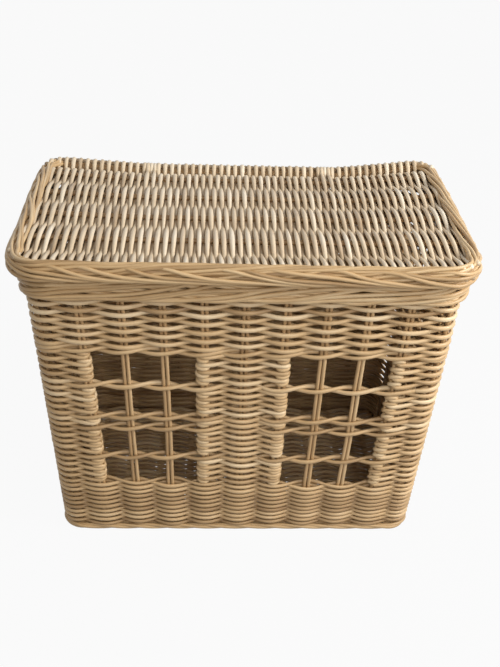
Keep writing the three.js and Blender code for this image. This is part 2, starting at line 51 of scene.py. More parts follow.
REED = 3.8
WALL_MIDDLE = 5.7
RIM_BOTTOM = 281.0
FOOT_SIZE = (374.0, 225.0, 26.0)
TOP_SIZE = (412.0, 248.0, 28.0)
STAKE_CORNER_GAP = 23.0
CORNER_STAKE_ANGLE = math.radians(48)
WINDOW_SILL = 65.0
WINDOW_HEAD = 222.0
CROSSBAR_HEIGHTS = (98.0, 134.0, 147.0, 184.0)
RIM_OUTSIDE = (213.0, 131.0, 35.0)
LID_OUTSIDE = (220.0, 138.0, 32.0)
LID_PANEL_MIDDLE = 316.3
LID_STAKES = (-67.0, -11.0, 45.0, 101.0)
LID_ROD_INSET = 8.1
LID_ROD_RADIUS = 4.0
LID_ROD_HEIGHT = 314.3
HINGE_X = 96.875
HINGE_ROD = (129.9, 314.3)
HINGE_RIM = (120.8, 292.0)

# Stakes by number, anticlockwise from the middle of the front and twice round: the jambs of the two
# windows, the bare stakes in them, and the middle of the back, where the rows start
STAKES = 32
LEFT_OUTER = 28
LEFT_INNER = 31
RIGHT_INNER = 33
RIGHT_OUTER = 36
BARE_STAKES = (2, 3, 29, 30)
RING_START = 16

# Weavers: radius, thinnest share of it where neighbours cross, and rise and swelling behind a stake
FOOT_WEAVER = 2.1
TOP_WEAVER = 2.5
LID_WEAVER = 2.5
WEAVER_FLATNESS = 0.8
WEAVER_OVAL = (WEAVER_FLATNESS, 1.0)
FOOT_WAIST = 0.82
TOP_WAIST = 0.9
LID_WAIST = 0.74
FOOT_RISE = 3.8
TOP_RISE = 2.7
BEHIND_SWELL = 0.22
BACK_SWELL = 0.26
WALL_OVERLAP = 0.1
LID_OVERLAP = 0.2

# Unevenness of the strands
ANY_PHASE = 6.3
GRAIN_LENGTH = 9000.0
WEAVER_SPREAD = 0.045
REED_SPREAD = 0.04
STAKE_SPREAD = 0.02
THICKNESS_WAVE = 0.03
THICKNESS_TURNS = (9.0, 30.0)
ROW_WAVE = 0.14
STAKE_WAVE = 0.35
PAIR_WAVE = 0.12
PAIR_OFFSET = 2.02

# How rows stray from level: turns round the wall, sizes and shifts with height, and how much lower they
# lie at the front and on the right, where they are neither near the foot nor near the rim
DRIFT_TURNS = np.array((1, 2, 3, 5, 8))
DRIFT_SIZES = np.array((0.55, 0.45, 0.4, 0.3, 0.22))
DRIFT_SHIFTS = np.array((0.011, -0.016, 0.021, -0.027, 0.04))
FRONT_DROP = 2.9
RIGHT_DROP = 3.2
DROP_ABOVE_FOOT = 60.0
DROP_BELOW_RIM = 50.0

# Tones, from dark to pale
STRAND_TONE = 0.52
TONE_SPREAD = 0.1
# Painted shade: how much darker a strand is where it lies behind
SHADE = 0.2
# Painted light and shade: how much paler wall rows grow up the wall, and the share of its height where they
# are neither
PALER_UPWARD = 0.28
EVEN_HEIGHT = 0.55
# Painted shade on the crossbars where they cross the windows
BAR_SHADE = 0.13
FOOT_TONE = 0.42
FOOT_TONE_SPREAD = 0.06
PLAIT_TONE = 0.5
PLAIT_TONE_SPREAD = 0.12
# Painted shade along the front of the lid's plait
PLAIT_FRONT_SHADE = 0.12
SHADED_FROM = -95.0
SHADED_WITHIN = 30.0
# Painted shade: the dark tone of the rows and rings hidden inside the rim's plait
HIDDEN_TONE = 0.2
# Painted shade: dark tones for the lid's stakes, and for its rod and the rings inside its plait
LID_STAKE_TONE = 0.3
LID_ROD_TONE = 0.4

# Rows of the wall, their turns at the windows, and the twisted pairs
STEPS = 8
FIRST_ROW = 8.0
SILL_ROWS = 20
SILL_PITCH = 2.92
ROWS_BELOW_BARS = (8, 8, 2, 8)
ROWS_BELOW_HEAD = 8
HEAD_START = WINDOW_HEAD + 2.0
HEAD_ROWS = 14
HEAD_PITCH = 4.3
JAMB_REACH = 5.3
JAMB_BULGE = 1.6
JAMB_TAIL = 0.75
JAMB_FILLER = 0.92
HALF_TURN = np.linspace(0.0, np.pi, 9)[1:-1]
WHOLE_TURN = np.linspace(0.0, 2.0 * np.pi, 17)[:-1]
TWIST = 1.8
TWIST_DIP = 0.9

# Wall stakes
STAKE_STEPS = 19
BARE_EASE = 6.0

# Foot: the twisted strands, and the inset, height and radius of the rings inside them
FOOT_OUTLINE_HEIGHT = 3.0
FOOT_INSET = 3.7
FOOT_HEIGHT = 3.3
FOOT_STRANDS = 3
FOOT_STRAND = 1.9
FOOT_TWIST = 1.35
FOOT_TURNS = 13.0
FOOT_STEPS = 420
FOOT_CORNER_RINGS = ((8.7, 3.0, 2.6), (9.6, 7.6, 2.6), (12.6, 11.0, 2.2))

# Floor
FLOOR_MIDDLE = 12.0
FLOOR_ROWS = 51
FLOOR_ROW_PITCH = 3.9
FLOOR_WAVE = 3.6
FLOOR_THICKNESS = 1.14
FLOOR_GAP = 1.0
FLOOR_STEPS = 71
FLOOR_STICKS = range(-4, 5)
STICK_STEPS = 13

# How strands of a flat weave stray: size, rate along the strand and shift from one to the next, and the
# size and rate of a strand's own wave
FLOOR_STRAY = (0.5, 0.021, 0.35, 0.2, 0.07)
LID_STRAY = (0.3, 0.02, 0.21, 0.15, 0.05)

# Plaited borders, and the plain rings inside them that keep light out: insets and heights
PLAIT_POINT = 0.97
PLAIT_UNSTEADY = 0.18
PLAIT_STRAY = 0.35
PLAIT_FRONT_EASE = 1.4
RIM_THICKNESS = 1.1
RIM_ROWS = (282.0, 285.8, 289.6, 293.4)
RIM_ROW_DEPTH = 0.9
RIM_RINGS = ((9.5, 296.0), (13.0, 296.0))
RIM_RING_STEPS = 200
LID_FRONT_SHARE = 0.36
LID_BORDER_RINGS = (
    (6.2, 305.6), (10.0, 305.6), (13.8, 305.6), (9.0, 304.4), (12.5, 303.0), (16.0, 303.0),
    (6.8, 307.4), (7.0, 309.0), (9.0, 310.8), (7.6, 317.8),
)
LID_RING_STEPS = 280
TUCK_START = 1.1
TUCK_RATE = 2.6
TUCKED_IN = 0.98
SHORTEST_RUN = 4

# The warp of the lid
BOW_START = 100.0
BOW_LENGTH = 120.0
BOW_MOST = 1.1
BOW_POWER = 1.2
RIGHT_LIFT = 14.0
LEFT_LIFT = 7.0
FRONT_LIFT = 1.5
FRONT_SAG = 3.0
UNBOWED_BELOW = 302.0
BOWED_WITHIN = 9.0
BACK_WIDENING = 0.012
WIDER_FROM = -60.0
WIDER_WITHIN = 120.0
RIGHT_NARROWING = 0.038
LEFT_NARROWING = 0.022
NARROWER_FROM = -90.0
NARROWER_WITHIN = 45.0

# Lid weavers: how they wrap the rod, with the angles of their ends over it, under it and at a hinge loop,
# and how they fan out along the front
LID_WEAVERS = 110
LID_WEAVER_PITCH = 3.88
LID_STEPS = 71
LID_WRAP_OVER = 9.0
LID_WRAP_UNDER = 7.6
LID_FRONT_WRAP = 6.4
OVER_TURNS = (72.0, 52.0, 30.0, 8.0, -14.0)
UNDER_TURNS = (-72.0, -48.0, -24.0, 0.0, 24.0, 46.0, 66.0)
LOOP_TURNS = (80.0,)
FAN = 0.03
FAN_MIDDLE = -50.0
FAN_FROM = -88.0
FAN_WITHIN = 42.0

# Lid stakes, rod and hinge loops
LID_STAKE_END = 207.0
LID_STAKE_STEPS = 41
LID_STAKE_WAVE = 0.25
LID_STAKE_RATE = 0.03
LID_ROD_STEPS = 160
LOOP_ROOM = 8.8
ROD_LOOP = 5.3
RIM_LOOP = 14.3
CANE_RADIUS = REED / 2.0 - 0.05
CANE_OVAL = (0.58, 1.0)

# Directions that no strand of the kind runs along
UPWARD = (0, 0, 1)
SIDEWAYS = (1, 0, 0)
ASLANT = (0.31, 0.95, 0.0)

# Studio
PAPER_HALF = 8.0
PAPER_TONE = 0.28
PAPER_WHITENESS = 0.94
WORLD_LIGHT = 0.38
WHITE = (1.0, 1.0, 1.0, 1.0)

rng = np.random.default_rng(41)
DRIFT_PHASES = rng.uniform(0.0, 2.0 * np.pi, len(DRIFT_TURNS))


def unit(vectors):
    return vectors / np.linalg.norm(vectors, axis=-1, keepdims=True)


def ease(value):
    """A smooth step: 0 up to 0, and 1 from 1 on."""
    value = np.clip(value, 0.0, 1.0)
    return value * value * (3.0 - 2.0 * value)


def swing(turn):
    """How far in front or behind a weaver is, from 1 to -1, as it goes from stake to stake."""
    return np.cos(np.pi * turn)


def waver(along, slowest, fastest):
    """A wave along a strand, of a length and phase drawn for it."""
    return np.sin(along * rng.uniform(slowest, fastest) + rng.uniform(0.0, ANY_PHASE))


def thickness(steps, spread):
    """A strand's thickness along its length, as a share of the usual one."""
    turns = np.linspace(0.0, rng.uniform(*THICKNESS_TURNS), steps)
    wave = np.sin(turns + rng.uniform(0.0, ANY_PHASE))
    return rng.normal(1.0, spread) + THICKNESS_WAVE * wave


def reed_radius(steps, spread=REED_SPREAD):
    """A reed's radius along its length."""
    return REED / 2.0 * thickness(steps, spread)


def pressed(radius, front, waist, swell=BEHIND_SWELL):
    """A weaver's radius along its length: pressed thin where neighbours cross, fullest behind a stake."""
    fullness = waist + (1.0 - waist) * np.abs(front) + swell * np.maximum(-front, 0.0)
    return radius * fullness * thickness(len(front), WEAVER_SPREAD)


def stray(along, number, sizes):
    """How far a strand of a flat weave strays sideways: with its neighbours, and by itself."""
    size, rate, shift, own_size, own_rate = sizes
    together = size * np.sin(along * rate + number * shift)
    return together + own_size * np.sin(along * own_rate + rng.uniform(0.0, ANY_PHASE))


def strand_tone(front=1.0):
    """How pale a strand is, with painted shade where it lies behind."""
    return rng.normal(STRAND_TONE, TONE_SPREAD) - SHADE * (1.0 - np.asarray(front)) / 2.0


# Strands


def tube(path, radius, up, sides, closed=False, oval=(1.0, 1.0)):
    """Rings of points round a path and where each point is on the strand: along it, and across it twice."""
    path = np.asarray(path, float)
    if closed:
        tangent = unit(np.roll(path, -1, axis=0) - np.roll(path, 1, axis=0))
    else:
        tangent = unit(np.gradient(path, axis=0))
    side = unit(np.cross(np.broadcast_to(np.asarray(up, float), path.shape), tangent))
    top = np.cross(tangent, side)
    turn = np.arange(sides) * 2.0 * np.pi / sides
    across = oval[0] * np.cos(turn)[None, :, None]
    over = oval[1] * np.sin(turn)[None, :, None]
    reach = np.broadcast_to(radius, len(path))[:, None, None]
    rings = path[:, None] + reach * (across * side[:, None] + over * top[:, None])
    steps = np.linalg.norm(np.diff(path, axis=0), axis=1)
    travelled = np.concatenate(([0.0], np.cumsum(steps)))
    grain = np.empty_like(rings)
    grain[..., 0] = travelled[:, None]
    grain[..., 1] = (reach * across)[..., 0]
    grain[..., 2] = (reach * over)[..., 0]
    return rings, grain


class Piece:
    """The strands of one piece, gathered into one mesh."""

    def __init__(self, name):
        self.name = name
        self.points = []
        self.grain = []
        self.tones = []
        self.quads = []
        self.caps = []
        self.count = 0

    def add(self, rings, grain, tone, closed=False, capped=True):
        number, sides = rings.shape[:2]
        spans = number if closed else number - 1
        here = self.count + np.arange(spans)[:, None] * sides
        there = self.count + (np.arange(1, spans + 1) % number)[:, None] * sides
        j = np.arange(sides)[None, :]
        k = (j + 1) % sides
        quads = np.stack((here + j, here + k, there + k, there + j), axis=-1)
        self.quads.append(quads.reshape(-1, 4))
        if capped and not closed:
            first = self.count + np.arange(sides)
            self.caps.append(first[::-1])
            self.caps.append(first + (number - 1) * sides)
        offset = rng.uniform(0.0, GRAIN_LENGTH)
        self.points.append(rings.reshape(-1, 3))
        self.grain.append(grain.reshape(-1, 3) + (offset, 0.0, 0.0))
        self.tones.append(np.repeat(np.broadcast_to(tone, number), sides))
        self.count += number * sides

    def strand(self, path, radius, up=UPWARD, sides=8, closed=False, tone=None, oval=(1.0, 1.0)):
        if tone is None:
            tone = strand_tone()
        rings, grain = tube(path, radius, up, sides, closed, oval)
        self.add(rings, grain, tone, closed)

    def build(self, material, slot, body, *nodes):
        mesh = bpy.data.meshes.new(self.name)
        points = np.concatenate(self.points) * MILLIMETRE
        quads = np.concatenate(self.quads)
        corners = np.concatenate([quads.reshape(-1)] + self.caps).astype(np.int32)
        sizes = np.concatenate((np.full(len(quads), 4), [len(cap) for cap in self.caps])).astype(np.int32)
        starts = np.concatenate(([0], np.cumsum(sizes)[:-1])).astype(np.int32)
        mesh.vertices.add(len(points))
        mesh.vertices.foreach_set("co", points.astype(np.float32).reshape(-1))
        mesh.loops.add(len(corners))
        mesh.loops.foreach_set("vertex_index", corners)
        mesh.polygons.add(len(sizes))
        mesh.polygons.foreach_set("loop_start", starts)
        mesh.polygons.foreach_set("loop_total", sizes)
        mesh.update(calc_edges=True)
        mesh.polygons.foreach_set("use_smooth", np.full(len(sizes), True))
        grain = mesh.attributes.new("grain", "FLOAT_VECTOR", "POINT")
        grain.data.foreach_set("vector", np.concatenate(self.grain).astype(np.float32).reshape(-1))
        tone = mesh.attributes.new("tone", "FLOAT", "POINT")
        tone.data.foreach_set("value", np.concatenate(self.tones).astype(np.float32))
        mesh.validate()
        mesh.materials.append(material)
        piece = bpy.data.objects.new(self.name, mesh)
        bpy.context.scene.collection.objects.link(piece)
        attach(piece, body)
        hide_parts(*nodes)


# Materials


def srgb(red, green, blue):
    """A colour as it looks on a screen, 0 to 255, turned into linear light."""
    share = np.array((red, green, blue)) / 255.0
    light = np.where(share <= 0.04045, share / 12.92, ((share + 0.055) / 1.055) ** 2.4)
    return (*light.tolist(), 1.0)


def rattan(name, dark, middle, pale, roughness):
    """Peeled rattan: fibres along the strand, blotches, and strands of different tone, with painted shade
    and light carried in that tone.
    """
    material = bpy.data.materials.new(name)
    material.use_nodes = True
    nodes = material.node_tree.nodes
    links = material.node_tree.links
    shader = nodes["Principled BSDF"]

    grain = nodes.new("ShaderNodeAttribute")
    grain.attribute_name = "grain"
    tone = nodes.new("ShaderNodeAttribute")
    tone.attribute_name = "tone"

    def noise(along, across, detail):
        stretch = nodes.new("ShaderNodeVectorMath")
        stretch.operation = "MULTIPLY"
        stretch.inputs[1].default_value = (along, across, across)
        links.new(grain.outputs["Vector"], stretch.inputs[0])
        texture = nodes.new("ShaderNodeTexNoise")
        texture.inputs["Scale"].default_value = 1.0
        texture.inputs["Detail"].default_value = detail
        texture.inputs["Roughness"].default_value = 0.6
        links.new(stretch.outputs["Vector"], texture.inputs["Vector"])
        return texture.outputs["Fac"]

    def weigh(value, weight, added):
        """value * weight + added"""
        sum_of = nodes.new("ShaderNodeMath")
        sum_of.operation = "MULTIPLY_ADD"
        links.new(value, sum_of.inputs[0])
        sum_of.inputs[1].default_value = weight
        links.new(added, sum_of.inputs[2])
        return sum_of.outputs["Value"]

    blotch = noise(along=0.022, across=0.12, detail=3.0)
    fibre = noise(along=0.05, across=3.2, detail=4.0)
    pore = noise(along=0.8, across=5.5, detail=2.0)

    mixed = weigh(blotch, weight=0.55, added=tone.outputs["Fac"])
    mixed = weigh(fibre, weight=0.45, added=mixed)
    spread = nodes.new("ShaderNodeMapRange")
    spread.inputs["From Min"].default_value = 0.45
    spread.inputs["From Max"].default_value = 1.55
    links.new(mixed, spread.inputs["Value"])
    ramp = nodes.new("ShaderNodeValToRGB")
    stops = ramp.color_ramp.elements
    stops.new(0.5)
    for stop, place, colour in zip(stops, (0.1, 0.5, 0.88), (dark, middle, pale)):
        stop.position = place
        stop.color = colour
    links.new(spread.outputs["Result"], ramp.inputs["Fac"])
    links.new(ramp.outputs["Color"], shader.inputs["Base Color"])

    sheen = nodes.new("ShaderNodeMapRange")
    sheen.inputs["To Min"].default_value = roughness + 0.12
    sheen.inputs["To Max"].default_value = roughness - 0.12
    links.new(fibre, sheen.inputs["Value"])
    links.new(sheen.outputs["Result"], shader.inputs["Roughness"])
    shader.inputs["Specular IOR Level"].default_value = 0.42

    bump = nodes.new("ShaderNodeBump")
    bump.inputs["Strength"].default_value = 0.3
    bump.inputs["Distance"].default_value = 0.0003
    links.new(weigh(pore, weight=0.4, added=fibre), bump.inputs["Height"])
    links.new(bump.outputs["Normal"], shader.inputs["Normal"])
    return material


WALL_RATTAN = rattan("wall_rattan", srgb(130, 97, 59), srgb(194, 161, 116), srgb(226, 202, 164), 0.4)
# Painted light: the lid's rattan is a paler, whiter copy of the wall's, for the lid's stronger light and
# white highlights
LID_RATTAN = rattan("lid_rattan", srgb(156, 129, 95), srgb(218, 197, 166), srgb(243, 232, 212), 0.36)
STAKE_RATTAN = rattan("stake_rattan", srgb(124, 92, 58), srgb(188, 154, 110), srgb(216, 188, 146), 0.46)
BORDER_RATTAN = rattan("border_rattan", srgb(132, 99, 60), srgb(192, 159, 114), srgb(224, 199, 158), 0.42)
CANE = rattan("cane", srgb(140, 108, 70), srgb(196, 164, 120), srgb(224, 199, 158), 0.4)


# The tapering wall


def wall(z):
    """Half width, half depth and corner radius of the outside of the wall at a height."""
    share = z / RIM_BOTTOM
    width, depth, corner = ((1.0 - share) * foot + share * top for foot, top in zip(FOOT_SIZE, TOP_SIZE))
    return width / 2.0, depth / 2.0, corner


def around(half_x, half_y, corner, distance):
    """Points round a rectangle with rounded corners, anticlockwise from the middle of its front, and the
    outward directions there."""
    a = half_x - corner
    b = half_y - corner
    arc = corner * np.pi / 2.0
    ends = np.cumsum((a, arc, 2 * b, arc, 2 * a, arc, 2 * b, arc, a))
    distance = np.mod(distance, ends[-1])
    leg = np.minimum(np.searchsorted(ends, distance, side="right"), len(ends) - 1)
    along = distance - np.concatenate(([0.0], ends))[leg]
    turned = leg % 2 == 1
    heading = (leg // 2) * np.pi / 2.0 + np.where(turned, along / corner, 0.0)
    outward = np.stack((np.sin(heading), -np.cos(heading)), axis=-1)
    starts = np.array(
        (
            (0, -half_y), (a, -b), (half_x, -b), (a, b), (a, half_y),
            (-a, b), (-half_x, b), (-a, -b), (-a, -half_y),
        )
    )[leg]
    forward = np.stack((np.cos(heading), np.sin(heading)), axis=-1)
    travel = np.where(turned[..., None], corner * outward, along[..., None] * forward)
    return starts + travel, outward


def circuit(outside, inset, steps):
    """Points spaced evenly round an outline at an inset, their outward directions and shares of the way."""
    half_x, half_y, corner = (length - inset for length in outside)
    whole = 4.0 * (half_x + half_y - 2.0 * corner) + 2.0 * np.pi * corner
    share = np.arange(steps) / steps
    flat, outward = around(half_x, half_y, corner, share * whole)
    return flat, outward, share


def level_ring(outside, inset, height, steps):
    flat = circuit(outside, inset, steps)[0]
    return np.column_stack((flat, np.full(steps, height)))


def stake_distances(z):
    """How far round the middle of the wall each stake stands, twice round, and the whole way round."""
    half_x, half_y, corner = wall(z)
    radius = corner - WALL_MIDDLE
    a = half_x - corner
    b = half_y - corner
    arc = radius * np.pi / 2.0
    front = np.arange(5) * (a - STAKE_CORNER_GAP) / 4.0
    side = np.arange(-2, 3) * (b - STAKE_CORNER_GAP) / 2.0
    near = radius * CORNER_STAKE_ANGLE
    far = arc - near
    right = a + arc + b
    back = right + b + arc + a
    left = back + a + arc + b
    whole = left + b + arc + a
    places = np.concatenate(
        (
            front, [a + near], right + side, [right + b + far],
            back - front[:0:-1], back + front, [back + a + near],
            left + side, [left + b + far], whole - front[:0:-1],
        )
    )
    return np.concatenate((places, places + whole)), whole


def on_wall(z, distance, out):
    """Points at a distance round the middle of the wall, moved out of it by a length."""
    half_x, half_y, corner = wall(z)
    flat, outward = around(half_x - WALL_MIDDLE, half_y - WALL_MIDDLE, corner - WALL_MIDDLE, distance)
    return flat + outward * np.asarray(out)[..., None]


def by_height(foot, top, z):
    """A measure that changes evenly from the foot to the top of the wall."""
    return foot + (top - foot) * z / RIM_BOTTOM


def weaver(z):
    """The radius of the weavers at a height: the upper rows are woven from thicker strands."""
    return by_height(FOOT_WEAVER, TOP_WEAVER, z)


def wall_waist(z):
    """How much of a weaver's radius is left where its neighbours cross, at a height."""
    return by_height(FOOT_WAIST, TOP_WAIST, z)


def behind_rise(z):
    """How much higher a weaver lies behind a stake than in front of one."""
    return by_height(FOOT_RISE, TOP_RISE, z)


def behind_swell(z, distance):
    """How much fuller a weaver is behind a stake, most at the back of the box."""
    place = 2.0 * np.pi * distance / stake_distances(z)[1]
    return BEHIND_SWELL + BACK_SWELL * (1.0 - np.cos(place)) / 2.0


def drift(z, share):
    """How far a row strays from level, the same for neighbouring rows."""
    place = 2.0 * np.pi * share
    phase = DRIFT_PHASES + z * DRIFT_SHIFTS
    lean = ease(z / DROP_ABOVE_FOOT) * ease((RIM_BOTTOM - z) / DROP_BELOW_RIM)
    lower = lean * (FRONT_DROP * (1.0 + np.cos(place)) / 2.0 + RIGHT_DROP * np.sin(place))
    return (DRIFT_SIZES * np.sin(place[:, None] * DRIFT_TURNS + phase)).sum(axis=1) - lower


# Rows of the wall

Row = namedtuple("Row", "stake distance front level")


def row(number, z, first=RING_START, last=RING_START + STAKES):
    """A weaver from one stake to another, in front of every second one."""
    places, whole = stake_distances(z)
    stake = np.linspace(first, last, (last - first) * STEPS + 1)
    distance = np.interp(stake, np.arange(len(places)), places)
    front = swing(stake + number)
    unsteady = ROW_WAVE * waver(stake, slowest=1.4, fastest=2.3)
    level = z + drift(z, distance / whole) + unsteady + behind_rise(z) * (1.0 - front) / 2.0
    return Row(stake, distance, front, level)


def wall_path(z, distance, front, level):
    """A path round the wall that swings out of it and in as the weaver passes the stakes."""
    out = (REED / 2.0 + WEAVER_FLATNESS * weaver(z) - WALL_OVERLAP) * front
    return np.column_stack((on_wall(z, distance, out), level))


def row_heights():
    """The weave's rows by number: their heights and which crossbar, if any, they belong to."""
    rows = [(FIRST_ROW + SILL_PITCH * k, None) for k in range(SILL_ROWS)]
    for bar, (height, between) in enumerate(zip(CROSSBAR_HEIGHTS, ROWS_BELOW_BARS)):
        below = rows[-1][0]
        gap = (height - REED / 2.0 - below) / (between + 1)
        rows += [(below + gap * (k + 1), None) for k in range(between)]
        rows += [(height - REED / 2.0, bar), (height + REED / 2.0, bar)]
    below = rows[-1][0]
    gap = (HEAD_START - below) / (ROWS_BELOW_HEAD + 1)
    rows += [(below + gap * (k + 1), None) for k in range(ROWS_BELOW_HEAD)]
    rows += [(HEAD_START + HEAD_PITCH * k, None) for k in range(HEAD_ROWS)]
    return rows


ROWS = row_heights()
FIRST_HEAD_ROW = len(ROWS) - HEAD_ROWS


def closed_row(piece, number, z):
    """A row all the way round the wall, paler the higher it lies: painted light under the lid's shadow and
    painted shade lower down.
    """
    _, distance, front, level = row(number, z)
    path = wall_path(z, distance, front, level)[:-1]
    tone = strand_tone(front[:-1]) + PALER_UPWARD * (z / RIM_BOTTOM - EVEN_HEIGHT)
    radius = pressed(weaver(z), front[:-1], wall_waist(z), behind_swell(z, distance[:-1]))
    piece.strand(path, radius, closed=True, tone=tone, oval=WEAVER_OVAL)


def jamb_bulge(z):
    """How far the turned weavers of a jamb stand into the window, most halfway between two crossbars."""
    levels = np.array((WINDOW_SILL, *CROSSBAR_HEIGHTS, WINDOW_HEAD))
    k = int(np.clip(np.searchsorted(levels, z) - 1, 0, len(levels) - 2))
    share = (z - levels[k]) / (levels[k + 1] - levels[k])
    return JAMB_BULGE * np.sin(np.pi * np.clip(share, 0.0, 1.0))


def jamb_turn(start, finish, end, sign, reach):
    """Round the stake at one end of a row and on to the other row."""
    distance = start.distance[end] + sign * reach * np.sin(HALF_TURN)
    front = start.front[end] * np.cos(HALF_TURN)
    share = (1.0 - np.cos(HALF_TURN)) / 2.0
    level = start.level[end] * (1.0 - share) + finish.level[end] * share
    return distance, front, level


def turned_pair(piece, number, first, last):
    """Two rows of one weaver, which turns back round the stakes at both ends, and a ring in each gap."""
    low, high = ROWS[number][0], ROWS[number + 1][0]
    middle = (low + high) / 2.0
    reach = JAMB_REACH + jamb_bulge(middle)
    there = row(number, low, first, last)
    back = row(number + 1, high, first, last)
    right = jamb_turn(there, back, -1, 1.0, reach)
    left = jamb_turn(back, there, 0, -1.0, reach)
    path = np.concatenate(
        (
            wall_path(low, *there[1:]), wall_path(middle, *right),
            wall_path(high, *back[1:])[::-1], wall_path(middle, *left),
        )
    )
    turning = np.ones(len(HALF_TURN))
    front = np.concatenate((there.front, turning, back.front[::-1], turning))
    radius = pressed(weaver(middle), front, wall_waist(middle))
    piece.strand(path, radius, closed=True, tone=strand_tone(front), oval=WEAVER_OVAL)

    for end, sign in ((0, -1.0), (-1, 1.0)):
        front = -there.front[end] * np.cos(WHOLE_TURN)
        tail = np.where(np.sin(WHOLE_TURN) > 0.0, 1.0, JAMB_TAIL)
        distance = there.distance[end] + sign * reach * np.sin(WHOLE_TURN) * tail
        level = (there.level[end] + back.level[end] - behind_rise(middle)) / 2.0
        level = level - (high - low) / 2.0 * np.sign(there.front[end]) * -front
        ring = wall_path(middle, distance, front, level)
        piece.strand(ring, weaver(middle) * JAMB_FILLER, closed=True, tone=strand_tone(), oval=WEAVER_OVAL)


def twined(number, height, stake, distance, front):
    """The height along one of two strands twisted round each other, one half turn from stake to stake."""
    straight = height + drift(height, distance / stake_distances(height)[1])
    return straight - TWIST_DIP * front + TWIST * np.sin(np.pi * (stake + number))


def twined_row(piece, number, z):
    """One strand of the twisted pair that starts the wall again above the windows."""
    stake, distance, front, _ = row(number, z)
    path = wall_path(z, distance, front, twined(number, z, stake, distance, front))[:-1]
    piece.strand(path, pressed(weaver(z), front[:-1], wall_waist(z)), closed=True, oval=WEAVER_OVAL)


def crossbar_row(number, z, bar, surround, pier, bars):
    """A row that goes on across both windows, twisted there with the row next to it."""
    stake, distance, front, level = row(number, z)
    left = ease(np.minimum(stake - (LEFT_OUTER - 1), LEFT_INNER + 1 - stake))
    right = ease(np.minimum(stake - (RIGHT_INNER - 1), RIGHT_OUTER + 1 - stake))
    window = np.maximum(left, right)
    twist = twined(number, CROSSBAR_HEIGHTS[bar], stake, distance, front)
    path = wall_path(z, distance, front, level * (1.0 - window) + twist * window)
    radius = pressed(weaver(z), front, wall_waist(z))
    rings, grain = tube(path, radius, UPWARD, sides=8, oval=WEAVER_OVAL)
    # Painted shade: darker where the bar crosses a window, with no painted shade behind stakes there
    tone = strand_tone(front * (1.0 - window) + window) - BAR_SHADE * window
    cuts = (
        (surround, RING_START, LEFT_OUTER), (bars["left"][bar], LEFT_OUTER, LEFT_INNER),
        (pier, LEFT_INNER, RIGHT_INNER), (bars["right"][bar], RIGHT_INNER, RIGHT_OUTER),
        (surround, RIGHT_OUTER, RING_START + STAKES),
    )
    for piece, first, last in cuts:
        part = slice((first - RING_START) * STEPS, (last - RING_START) * STEPS + 1)
        piece.add(rings[part], grain[part], tone[part], capped=False)


def woven_wall():
    lower = Piece("lower_weave")
    for number in range(SILL_ROWS):
        closed_row(lower, number, ROWS[number][0])
    lower.build(WALL_RATTAN, "wall_weave", "box", "lower_weave_band")

    upper = Piece("upper_weave")
    for number in (FIRST_HEAD_ROW, FIRST_HEAD_ROW + 1):
        twined_row(upper, number, ROWS[FIRST_HEAD_ROW][0])
    for number in range(FIRST_HEAD_ROW + 1, len(ROWS)):
        closed_row(upper, number, ROWS[number][0])
    upper.build(WALL_RATTAN, "wall_weave", "box", "upper_weave_band")

    surround = Piece("window_surround_weave")
    pier = Piece("window_pier_weave")
    bars = {
        side: [Piece(f"{side}_window_crossbar_strands_{k + 1}") for k in range(len(CROSSBAR_HEIGHTS))]
        for side in ("left", "right")
    }
    for number in range(SILL_ROWS, FIRST_HEAD_ROW):
        z, bar = ROWS[number]
        if bar is not None:
            crossbar_row(number, z, bar, surround, pier, bars)
        elif number % 2 == 0:
            turned_pair(surround, number, RIGHT_OUTER, LEFT_OUTER + STAKES)
            turned_pair(pier, number, LEFT_INNER, RIGHT_INNER)
    surround.build(WALL_RATTAN, "wall_weave", "box", "window_surround")
    pier.build(WALL_RATTAN, "wall_weave", "box", "window_pier")
    for side, pieces in bars.items():
        for k, piece in enumerate(pieces):
            piece.build(WALL_RATTAN, "wall_weave", "box", f"{side}_window_crossbar_{k + 1}")


# Stakes


def cad_middle(node):
    """The middle of a CAD node, in millimetres."""
    low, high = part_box(node)
    return (low + high) * (METRE / 2.0)


WALL_STAKES = [
    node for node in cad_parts
    if "_stake_" in node and not node.startswith("lid_")
]


def wall_stakes():
    """The stakes, each a pair of reeds, darker with painted shade where the weave covers them and paler
    where they stand bare in a window.
    """
    nodes = {node: cad_middle(node) for node in WALL_STAKES}
    foot = min(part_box(node)[0].z for node in nodes) * METRE
    tip = max(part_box(node)[1].z for node in nodes) * METRE
    heights = np.linspace(foot, tip, STAKE_STEPS)
    beside_window = ease((heights - WINDOW_SILL) / BARE_EASE) * ease((WINDOW_HEAD - heights) / BARE_EASE)
    for number in range(STAKES):
        places = np.array([stake_distances(z)[0][number] for z in heights])
        places = places + STAKE_WAVE * waver(heights, slowest=0.02, fastest=0.05)
        gap = PAIR_OFFSET + PAIR_WAVE * waver(heights, slowest=0.03, fastest=0.06)
        reeds = []
        for side in (-1.0, 1.0):
            flat = [on_wall(z, place, 0.0) for z, place in zip(heights, places + side * gap)]
            reeds.append(np.column_stack((flat, heights)))
        middle = Vector((reeds[0] + reeds[1])[STAKE_STEPS // 2] / 2.0)
        node = min(nodes, key=lambda name: (nodes[name] - middle).length)
        piece = Piece(f"{node}_reeds")
        # Painted shade where the weave covers a stake, none where it stands bare in a window
        shown = beside_window * (number in BARE_STAKES)
        for path in reeds:
            radius = reed_radius(STAKE_STEPS, STAKE_SPREAD)
            piece.strand(path, radius, up=ASLANT, tone=strand_tone(shown))
        piece.build(STAKE_RATTAN, "stake", "box", node)


# Foot and floor


